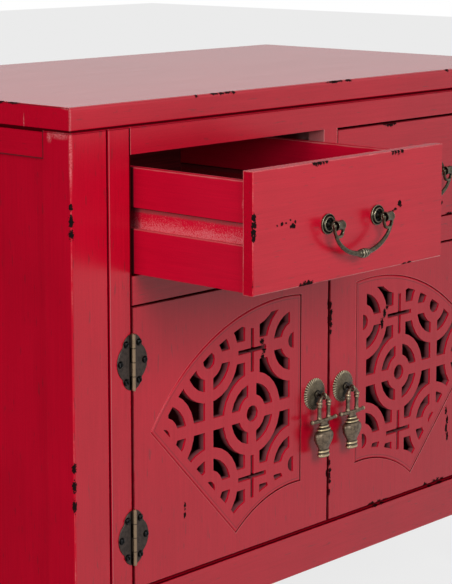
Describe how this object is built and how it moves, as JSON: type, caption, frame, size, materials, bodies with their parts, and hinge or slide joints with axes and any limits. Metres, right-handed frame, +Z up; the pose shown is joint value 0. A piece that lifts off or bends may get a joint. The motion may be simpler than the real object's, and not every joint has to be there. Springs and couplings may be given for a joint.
{
  "type": "sideboard cabinet",
  "caption": "Low red lacquered sideboard on square legs, with drawers over paired doors that carry fan-shaped pierced fretwork and drop pulls.",
  "frame": {"origin": "on the floor under the middle of the whole cabinet as stored, with its left drawer pulled out", "axes": "+X to the right along the front, +Y from front to back, +Z up"},
  "size_m": [1, 0.7907, 0.85],
  "materials": {
    "red_lacquer": "satin red lacquer with fine grain, worn black at the edges",
    "fretwork_lacquer": "satin red lacquer, dusty in the cut walls",
    "inner_wood": "thinly stained matt wood",
    "antique_brass": "aged brass, brown in the hollows and rubbed bright on the edges",
    "hinge_bronze": "dark bronzed leaf",
    "hinge_brass": "dull brass",
    "black_screw": "black"
  },
  "bodies": {
    "carcass": {"top_board": "red_lacquer", "post_front_left": "red_lacquer", "post_front_right": "red_lacquer", "post_rear_left": "red_lacquer", "post_rear_right": "red_lacquer", "stile_left": "red_lacquer", "stile_right": "red_lacquer", "top_rail": "red_lacquer", "mid_rail": "red_lacquer", "bottom_rail": "red_lacquer", "drawer_divider": "red_lacquer", "side_rail_top_left": "red_lacquer", "side_rail_top_right": "red_lacquer", "side_rail_bottom_left": "red_lacquer", "side_rail_bottom_right": "red_lacquer", "side_panel_left": "red_lacquer", "side_panel_right": "red_lacquer", "rear_rail_top": "red_lacquer", "rear_rail_bottom": "red_lacquer", "back_panel": "inner_wood", "floor_panel": "inner_wood", "shelf": "inner_wood", "shelf_cleats": "inner_wood", "drawer_partition": "inner_wood", "drawer_runners": "inner_wood", "door_stop": "inner_wood", "hinge_frame_leaves": "hinge_bronze", "hinge_pins": "hinge_brass", "hinge_frame_screws": "black_screw"},
    "drawer_left": {"drawer_left_front": "red_lacquer", "drawer_left_side_outer": "red_lacquer", "drawer_left_side_inner": "red_lacquer", "drawer_left_back": "inner_wood", "drawer_left_bottom": "inner_wood", "drawer_left_rosettes": "antique_brass", "drawer_left_handle_posts": "antique_brass"},
    "bail_left": {"drawer_left_bail": "antique_brass"},
    "door_left": {"door_left_board": "red_lacquer", "door_left_fretwork": "fretwork_lacquer", "door_left_pull_plate": "antique_brass", "door_left_pull_eye": "antique_brass", "door_left_hinge_leaves": "hinge_bronze", "door_left_hinge_screws": "black_screw"},
    "pendant_left": {"pendant_left": "antique_brass"},
    "drawer_right": {"drawer_right_front": "red_lacquer", "drawer_right_side_outer": "red_lacquer", "drawer_right_side_inner": "red_lacquer", "drawer_right_back": "inner_wood", "drawer_right_bottom": "inner_wood", "drawer_right_rosettes": "antique_brass", "drawer_right_handle_posts": "antique_brass"},
    "bail_right": {"drawer_right_bail": "antique_brass"},
    "door_right": {"door_right_board": "red_lacquer", "door_right_fretwork": "fretwork_lacquer", "door_right_pull_plate": "antique_brass", "door_right_pull_eye": "antique_brass", "door_right_hinge_leaves": "hinge_bronze", "door_right_hinge_screws": "black_screw"},
    "pendant_right": {"pendant_right": "antique_brass"}
  },
  "joints": [
    {"name": "drawer_left_slide", "type": "slide", "parent": "carcass", "child": "drawer_left", "axis": [0, -1, 0], "range_m": [-0.206, 0.15]},
    {"name": "drawer_right_slide", "type": "slide", "parent": "carcass", "child": "drawer_right", "axis": [0, -1, 0], "range_m": [0, 0.356]},
    {"name": "door_left_hinge", "type": "hinge", "parent": "carcass", "child": "door_left", "pos_m": [-0.397, -0.1675, 0.39875], "axis": [0, 0, -1], "range_deg": [0, 170]},
    {"name": "door_right_hinge", "type": "hinge", "parent": "carcass", "child": "door_right", "pos_m": [0.397, -0.1675, 0.39875], "axis": [0, 0, 1], "range_deg": [0, 170]},
    {"name": "bail_left_swing", "type": "hinge", "parent": "drawer_left", "child": "bail_left", "pos_m": [-0.20588, -0.3887, 0.7005], "axis": [-1, 0, 0], "range_deg": [-10, 85]},
    {"name": "bail_right_swing", "type": "hinge", "parent": "drawer_right", "child": "bail_right", "pos_m": [0.20588, -0.1827, 0.7005], "axis": [-1, 0, 0], "range_deg": [-10, 85]},
    {"name": "pendant_left_swing", "type": "hinge", "parent": "door_left", "child": "pendant_left", "pos_m": [-0.032, -0.1825, 0.4055], "axis": [-1, 0, 0], "range_deg": [-6, 80]},
    {"name": "pendant_right_swing", "type": "hinge", "parent": "door_right", "child": "pendant_right", "pos_m": [0.032, -0.1825, 0.4055], "axis": [-1, 0, 0], "range_deg": [-6, 80]}
  ]
}
